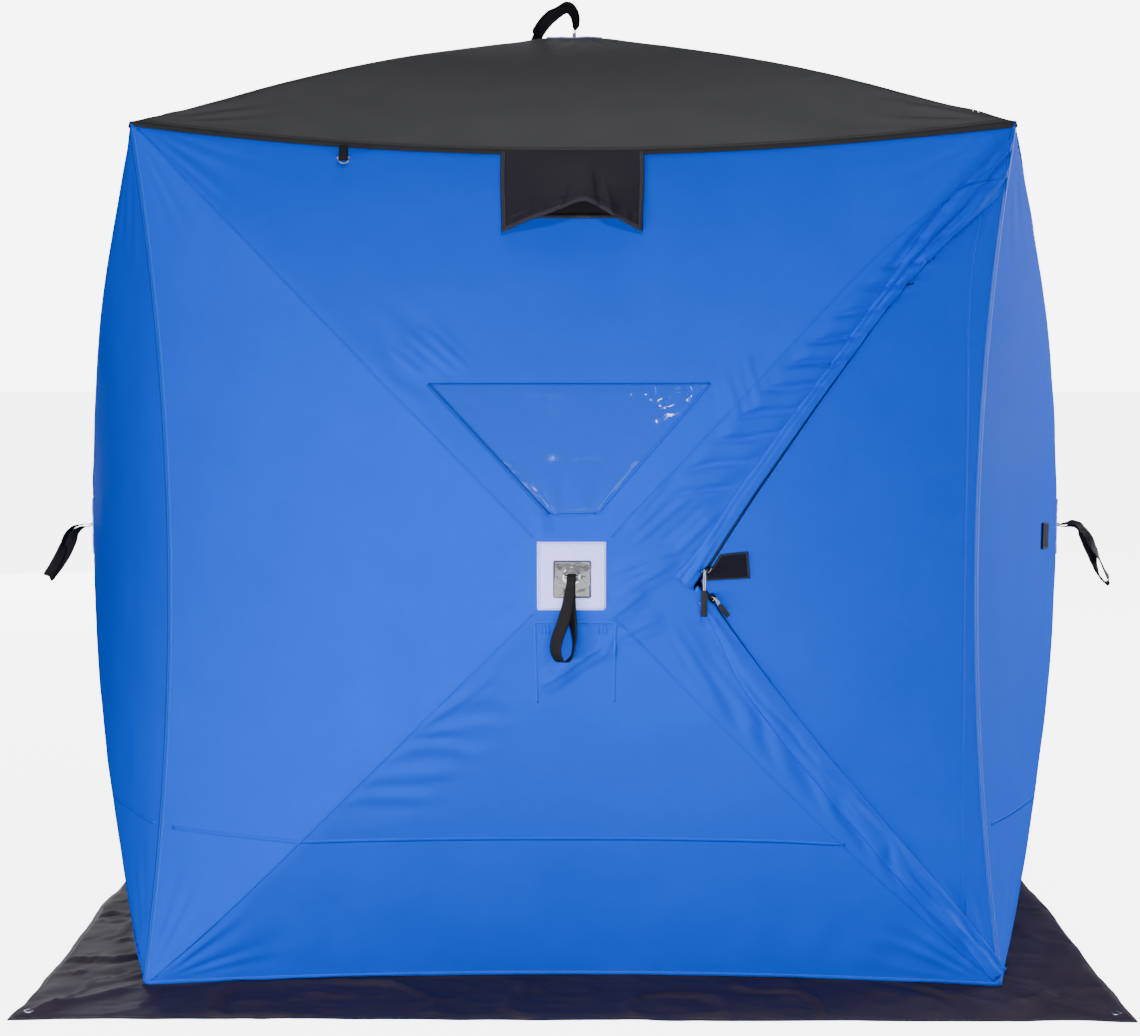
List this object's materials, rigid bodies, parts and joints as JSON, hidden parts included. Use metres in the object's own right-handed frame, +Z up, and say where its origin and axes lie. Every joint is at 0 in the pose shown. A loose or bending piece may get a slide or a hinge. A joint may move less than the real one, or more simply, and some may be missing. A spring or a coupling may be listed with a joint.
{
  "type": "ice fishing shelter",
  "caption": "Pop-up hub-frame ice fishing shelter with a V-zipped door, clear window, vent hood, floor skirt and outward-sprung walls and roof on pinned poles.",
  "frame": {"origin": "on the floor under the centre of the shelter", "axes": "+Z up, the front wall with door and window faces -Y, +X to the right of someone looking at the front"},
  "size_m": [2.568, 2.37, 2.1472],
  "materials": {
    "wall_fabric": "satin",
    "black_fabric": "matte",
    "roof_fabric": "matte",
    "patch_fabric": "matte",
    "webbing": "matte",
    "clear_film": "gloss",
    "black_plastic": "satin",
    "fibreglass": "gloss",
    "steel": "satin",
    "rubber": "matte"
  },
  "bodies": {
    "root": {"wall_front": "wall_fabric", "wall_back": "wall_fabric", "wall_left": "wall_fabric", "wall_right": "wall_fabric", "roof": "roof_fabric", "skirt": "black_fabric", "window_film": "clear_film", "sewn_tabs": "webbing", "corner_blocks": "black_plastic", "corner_pins": "steel"},
    "front_hub": {"hub_front": "black_plastic", "pins_front": "steel", "patch_front": "patch_fabric"},
    "front_pole_1": {"pole_front_1": "fibreglass"},
    "front_pole_2": {"pole_front_2": "fibreglass"},
    "front_pole_3": {"pole_front_3": "fibreglass"},
    "front_pole_4": {"pole_front_4": "fibreglass"},
    "front_strap": {"strap_front": "webbing"},
    "right_hub": {"hub_right": "black_plastic", "pins_right": "steel", "patch_right": "patch_fabric"},
    "right_pole_1": {"pole_right_1": "fibreglass"},
    "right_pole_2": {"pole_right_2": "fibreglass"},
    "right_pole_3": {"pole_right_3": "fibreglass"},
    "right_pole_4": {"pole_right_4": "fibreglass"},
    "right_strap": {"strap_right": "webbing"},
    "back_hub": {"hub_back": "black_plastic", "pins_back": "steel", "patch_back": "patch_fabric"},
    "back_pole_1": {"pole_back_1": "fibreglass"},
    "back_pole_2": {"pole_back_2": "fibreglass"},
    "back_pole_3": {"pole_back_3": "fibreglass"},
    "back_pole_4": {"pole_back_4": "fibreglass"},
    "back_strap": {"strap_back": "webbing"},
    "left_hub": {"hub_left": "black_plastic", "pins_left": "steel", "patch_left": "patch_fabric"},
    "left_pole_1": {"pole_left_1": "fibreglass"},
    "left_pole_2": {"pole_left_2": "fibreglass"},
    "left_pole_3": {"pole_left_3": "fibreglass"},
    "left_pole_4": {"pole_left_4": "fibreglass"},
    "left_strap": {"strap_left": "webbing"},
    "roof_hub": {"hub_roof": "black_plastic", "pins_roof": "steel", "patch_roof": "patch_fabric"},
    "roof_pole_1": {"pole_roof_1": "fibreglass"},
    "roof_pole_2": {"pole_roof_2": "fibreglass"},
    "roof_pole_3": {"pole_roof_3": "fibreglass"},
    "roof_pole_4": {"pole_roof_4": "fibreglass"},
    "roof_strap": {"strap_roof": "webbing"},
    "door_frame": {"zip_tapes": "webbing"},
    "door": {"door_panel": "wall_fabric", "door_tab": "webbing"},
    "upper_slider": {"slider_upper": "steel"},
    "lower_slider": {"slider_lower": "steel"},
    "upper_pull": {"pull_upper": "rubber"},
    "lower_pull": {"pull_lower": "rubber"},
    "vent_base": {"vent_mesh": "black_fabric"},
    "vent_hood": {"vent_hood": "black_fabric"},
    "ring": {"d_ring": "steel"}
  },
  "joints": [
    {"name": "front_hub_pop", "type": "slide", "parent": "root", "child": "front_hub", "axis": [0, 1, 0], "range_m": [0, 0.504], "deforming": ["wall_front", "window_film"]},
    {"name": "front_pole_1_swing", "type": "hinge", "parent": "root", "child": "front_pole_1", "pos_m": [0.855, -0.888, 1.755], "axis": [0.7071, 0, -0.7071], "range_deg": [0, 24.43]},
    {"name": "front_pole_2_swing", "type": "hinge", "parent": "root", "child": "front_pole_2", "pos_m": [-0.855, -0.888, 1.755], "axis": [0.7071, 0, 0.7071], "range_deg": [0, 24.43]},
    {"name": "front_pole_3_swing", "type": "hinge", "parent": "root", "child": "front_pole_3", "pos_m": [-0.855, -0.888, 0.045], "axis": [-0.7071, 0, 0.7071], "range_deg": [0, 24.43]},
    {"name": "front_pole_4_swing", "type": "hinge", "parent": "root", "child": "front_pole_4", "pos_m": [0.855, -0.888, 0.045], "axis": [-0.7071, 0, -0.7071], "range_deg": [0, 24.43]},
    {"name": "front_strap_swing", "type": "hinge", "parent": "front_hub", "child": "front_strap", "pos_m": [0, -1.18, 0.9], "axis": [-1, 0, 0], "range_deg": [0, 100]},
    {"name": "right_hub_pop", "type": "slide", "parent": "root", "child": "right_hub", "axis": [-1, 0, 0], "range_m": [0, 0.504], "deforming": ["wall_right"]},
    {"name": "right_pole_1_swing", "type": "hinge", "parent": "root", "child": "right_pole_1", "pos_m": [0.888, 0.855, 1.755], "axis": [0, 0.7071, -0.7071], "range_deg": [0, 24.43]},
    {"name": "right_pole_2_swing", "type": "hinge", "parent": "root", "child": "right_pole_2", "pos_m": [0.888, -0.855, 1.755], "axis": [0, 0.7071, 0.7071], "range_deg": [0, 24.43]},
    {"name": "right_pole_3_swing", "type": "hinge", "parent": "root", "child": "right_pole_3", "pos_m": [0.888, -0.855, 0.045], "axis": [0, -0.7071, 0.7071], "range_deg": [0, 24.43]},
    {"name": "right_pole_4_swing", "type": "hinge", "parent": "root", "child": "right_pole_4", "pos_m": [0.888, 0.855, 0.045], "axis": [0, -0.7071, -0.7071], "range_deg": [0, 24.43]},
    {"name": "right_strap_swing", "type": "hinge", "parent": "right_hub", "child": "right_strap", "pos_m": [1.18, 0, 0.9], "axis": [0, -1, 0], "range_deg": [0, 100]},
    {"name": "back_hub_pop", "type": "slide", "parent": "root", "child": "back_hub", "axis": [0, -1, 0], "range_m": [0, 0.504], "deforming": ["wall_back"]},
    {"name": "back_pole_1_swing", "type": "hinge", "parent": "root", "child": "back_pole_1", "pos_m": [-0.855, 0.888, 1.755], "axis": [-0.7071, 0, -0.7071], "range_deg": [0, 24.43]},
    {"name": "back_pole_2_swing", "type": "hinge", "parent": "root", "child": "back_pole_2", "pos_m": [0.855, 0.888, 1.755], "axis": [-0.7071, 0, 0.7071], "range_deg": [0, 24.43]},
    {"name": "back_pole_3_swing", "type": "hinge", "parent": "root", "child": "back_pole_3", "pos_m": [0.855, 0.888, 0.045], "axis": [0.7071, 0, 0.7071], "range_deg": [0, 24.43]},
    {"name": "back_pole_4_swing", "type": "hinge", "parent": "root", "child": "back_pole_4", "pos_m": [-0.855, 0.888, 0.045], "axis": [0.7071, 0, -0.7071], "range_deg": [0, 24.43]},
    {"name": "back_strap_swing", "type": "hinge", "parent": "back_hub", "child": "back_strap", "pos_m": [0, 1.18, 0.9], "axis": [1, 0, 0], "range_deg": [0, 100]},
    {"name": "left_hub_pop", "type": "slide", "parent": "root", "child": "left_hub", "axis": [1, 0, 0], "range_m": [0, 0.504], "deforming": ["wall_left"]},
    {"name": "left_pole_1_swing", "type": "hinge", "parent": "root", "child": "left_pole_1", "pos_m": [-0.888, -0.855, 1.755], "axis": [0, -0.7071, -0.7071], "range_deg": [0, 24.43]},
    {"name": "left_pole_2_swing", "type": "hinge", "parent": "root", "child": "left_pole_2", "pos_m": [-0.888, 0.855, 1.755], "axis": [0, -0.7071, 0.7071], "range_deg": [0, 24.43]},
    {"name": "left_pole_3_swing", "type": "hinge", "parent": "root", "child": "left_pole_3", "pos_m": [-0.888, 0.855, 0.045], "axis": [0, 0.7071, 0.7071], "range_deg": [0, 24.43]},
    {"name": "left_pole_4_swing", "type": "hinge", "parent": "root", "child": "left_pole_4", "pos_m": [-0.888, -0.855, 0.045], "axis": [0, 0.7071, -0.7071], "range_deg": [0, 24.43]},
    {"name": "left_strap_swing", "type": "hinge", "parent": "left_hub", "child": "left_strap", "pos_m": [-1.18, 0, 0.9], "axis": [0, 1, 0], "range_deg": [0, 100]},
    {"name": "roof_hub_pop", "type": "slide", "parent": "root", "child": "roof_hub", "axis": [0, 0, -1], "range_m": [0, 0.504], "deforming": ["roof"]},
    {"name": "roof_pole_1_swing", "type": "hinge", "parent": "root", "child": "roof_pole_1", "pos_m": [0.855, 0.855, 1.788], "axis": [0.7071, -0.7071, 0], "range_deg": [0, 24.43]},
    {"name": "roof_pole_2_swing", "type": "hinge", "parent": "root", "child": "roof_pole_2", "pos_m": [-0.855, 0.855, 1.788], "axis": [0.7071, 0.7071, 0], "range_deg": [0, 24.43]},
    {"name": "roof_pole_3_swing", "type": "hinge", "parent": "root", "child": "roof_pole_3", "pos_m": [-0.855, -0.855, 1.788], "axis": [-0.7071, 0.7071, 0], "range_deg": [0, 24.43]},
    {"name": "roof_pole_4_swing", "type": "hinge", "parent": "root", "child": "roof_pole_4", "pos_m": [0.855, -0.855, 1.788], "axis": [-0.7071, -0.7071, 0], "range_deg": [0, 24.43]},
    {"name": "roof_strap_swing", "type": "hinge", "parent": "roof_hub", "child": "roof_strap", "pos_m": [0, 0, 2.08], "axis": [0, 1, 0], "range_deg": [0, 80]},
    {"name": "door_frame_fold", "type": "hinge", "parent": "root", "child": "door_frame", "pos_m": [0.815, -0.888, 0.9], "axis": [0, 0, -1], "range_deg": [0, 37.54]},
    {"name": "door_swing", "type": "hinge", "parent": "door_frame", "child": "door", "pos_m": [0.815, -0.888, 0.9], "axis": [0, 0, 1], "range_deg": [0, 100]},
    {"name": "upper_zip", "type": "slide", "parent": "door_frame", "child": "upper_slider", "axis": [0.5892, 0.2026, 0.7822], "range_m": [0, 0.912]},
    {"name": "lower_zip", "type": "slide", "parent": "door_frame", "child": "lower_slider", "axis": [0.5916, 0.2035, -0.7801], "range_m": [0, 0.891]},
    {"name": "upper_pull_swing", "type": "hinge", "parent": "upper_slider", "child": "upper_pull", "pos_m": [0.26025, -1.13701, 0.90612], "axis": [-0.9686, -0.2485, 0], "range_deg": [0, 110]},
    {"name": "lower_pull_swing", "type": "hinge", "parent": "lower_slider", "child": "lower_pull", "pos_m": [0.28161, -1.13056, 0.85094], "axis": [-0.729, -0.2781, -0.6254], "range_deg": [0, 110]},
    {"name": "vent_fold", "type": "hinge", "parent": "root", "child": "vent_base", "pos_m": [0, -0.843, 1.743], "axis": [1, 0, 0], "range_deg": [0, 34.24]},
    {"name": "vent_hood_lift", "type": "hinge", "parent": "vent_base", "child": "vent_hood", "pos_m": [0, -0.862, 1.738], "axis": [-1, 0, 0], "range_deg": [0, 95]},
    {"name": "d_ring_swing", "type": "hinge", "parent": "root", "child": "ring", "pos_m": [-0.465, -0.908, 1.726], "axis": [-1, 0, 0], "range_deg": [0, 120]}
  ],
  "couplings": [
    {"joint": "front_pole_1_swing", "follows": "front_hub_pop", "rad_per_m": 0.84593},
    {"joint": "front_pole_2_swing", "follows": "front_hub_pop", "rad_per_m": 0.84593},
    {"joint": "front_pole_3_swing", "follows": "front_hub_pop", "rad_per_m": 0.84593},
    {"joint": "front_pole_4_swing", "follows": "front_hub_pop", "rad_per_m": 0.84593},
    {"joint": "right_pole_1_swing", "follows": "right_hub_pop", "rad_per_m": 0.84593},
    {"joint": "right_pole_2_swing", "follows": "right_hub_pop", "rad_per_m": 0.84593},
    {"joint": "right_pole_3_swing", "follows": "right_hub_pop", "rad_per_m": 0.84593},
    {"joint": "right_pole_4_swing", "follows": "right_hub_pop", "rad_per_m": 0.84593},
    {"joint": "back_pole_1_swing", "follows": "back_hub_pop", "rad_per_m": 0.84593},
    {"joint": "back_pole_2_swing", "follows": "back_hub_pop", "rad_per_m": 0.84593},
    {"joint": "back_pole_3_swing", "follows": "back_hub_pop", "rad_per_m": 0.84593},
    {"joint": "back_pole_4_swing", "follows": "back_hub_pop", "rad_per_m": 0.84593},
    {"joint": "left_pole_1_swing", "follows": "left_hub_pop", "rad_per_m": 0.84593},
    {"joint": "left_pole_2_swing", "follows": "left_hub_pop", "rad_per_m": 0.84593},
    {"joint": "left_pole_3_swing", "follows": "left_hub_pop", "rad_per_m": 0.84593},
    {"joint": "left_pole_4_swing", "follows": "left_hub_pop", "rad_per_m": 0.84593},
    {"joint": "roof_pole_1_swing", "follows": "roof_hub_pop", "rad_per_m": 0.84593},
    {"joint": "roof_pole_2_swing", "follows": "roof_hub_pop", "rad_per_m": 0.84593},
    {"joint": "roof_pole_3_swing", "follows": "roof_hub_pop", "rad_per_m": 0.84593},
    {"joint": "roof_pole_4_swing", "follows": "roof_hub_pop", "rad_per_m": 0.84593},
    {"joint": "door_frame_fold", "follows": "front_hub_pop", "rad_per_m": 1.3001},
    {"joint": "vent_fold", "follows": "front_hub_pop", "rad_per_m": 1.1858}
  ]
}
